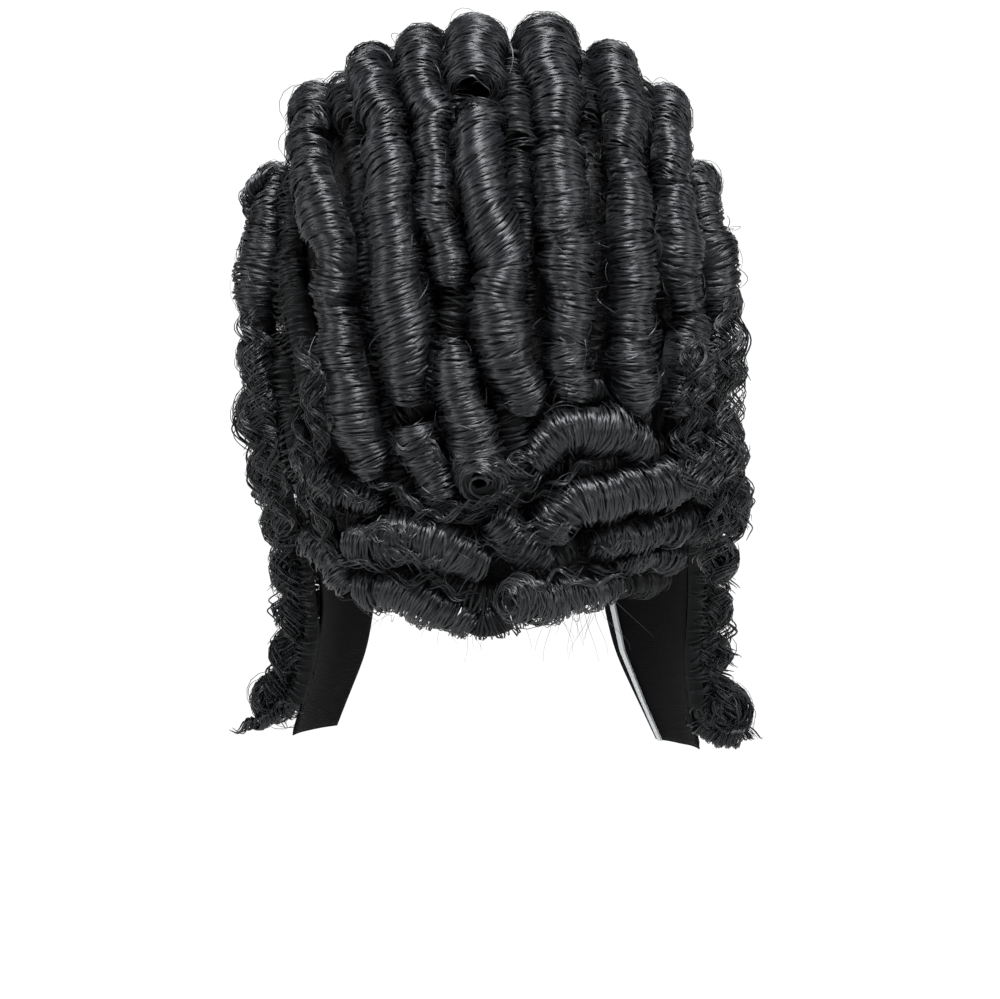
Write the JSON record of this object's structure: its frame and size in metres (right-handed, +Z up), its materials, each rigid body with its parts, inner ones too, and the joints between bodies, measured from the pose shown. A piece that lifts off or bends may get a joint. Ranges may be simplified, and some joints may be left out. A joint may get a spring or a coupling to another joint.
{
  "type": "barrister wig",
  "caption": "Full curly court wig in black fibre: an open cap covered in long rolled curls from crown to nape, with two cloth lappets that hang in front, stacked with curls.",
  "frame": {"origin": "where the crown of the head meets the inside of the cap", "axes": "+Z up, +Y the way the wearer faces, +X to the wearer's right"},
  "size_m": [0.2175, 0.25, 0.3108],
  "materials": {
    "hair": "black synthetic fibre set in glossy rolled curls",
    "cap_net": "matt black stretch net under short hair",
    "lappet_cloth": "matt black woven cloth",
    "pale_tape": "pale grey woven tape"
  },
  "bodies": {
    "root": {"cap": "cap_net", "crown_curl_1_1": "hair", "crown_curl_1_2": "hair", "crown_curl_2_1": "hair", "crown_curl_2_2": "hair", "crown_curl_2_3": "hair", "crown_curl_3_1": "hair", "crown_curl_3_2": "hair", "crown_curl_4_1": "hair", "crown_curl_4_2": "hair", "crown_curl_5_1": "hair", "crown_curl_5_2": "hair", "crown_curl_6_1": "hair", "crown_curl_6_2": "hair", "crown_curl_6_3": "hair", "crown_curl_6_4": "hair", "crown_curl_7_1": "hair", "crown_curl_7_2": "hair", "crown_curl_7_3": "hair", "crown_curl_8_1": "hair", "crown_curl_8_2": "hair", "crown_curl_8_3": "hair", "crown_curl_9_1": "hair", "crown_curl_9_2": "hair", "lappet_backing_left": "lappet_cloth", "lappet_backing_right": "lappet_cloth", "lappet_edge_tape_right": "pale_tape", "nape_curl_1": "hair", "nape_curl_10": "hair", "nape_curl_11": "hair", "nape_curl_12": "hair", "nape_curl_2": "hair", "nape_curl_3": "hair", "nape_curl_4": "hair", "nape_curl_5": "hair", "nape_curl_6": "hair", "nape_curl_7": "hair", "nape_curl_8": "hair", "nape_curl_9": "hair", "side_curl_left_1": "hair", "side_curl_left_10": "hair", "side_curl_left_2": "hair", "side_curl_left_3": "hair", "side_curl_left_4": "hair", "side_curl_left_5": "hair", "side_curl_left_6": "hair", "side_curl_left_7": "hair", "side_curl_left_8": "hair", "side_curl_left_9": "hair", "side_curl_right_1": "hair", "side_curl_right_2": "hair", "side_curl_right_3": "hair", "side_curl_right_4": "hair", "side_curl_right_5": "hair", "side_curl_right_6": "hair", "side_curl_right_7": "hair", "side_curl_right_8": "hair", "side_curl_right_9": "hair", "side_lock_left": "hair"}
  },
  "joints": []
}
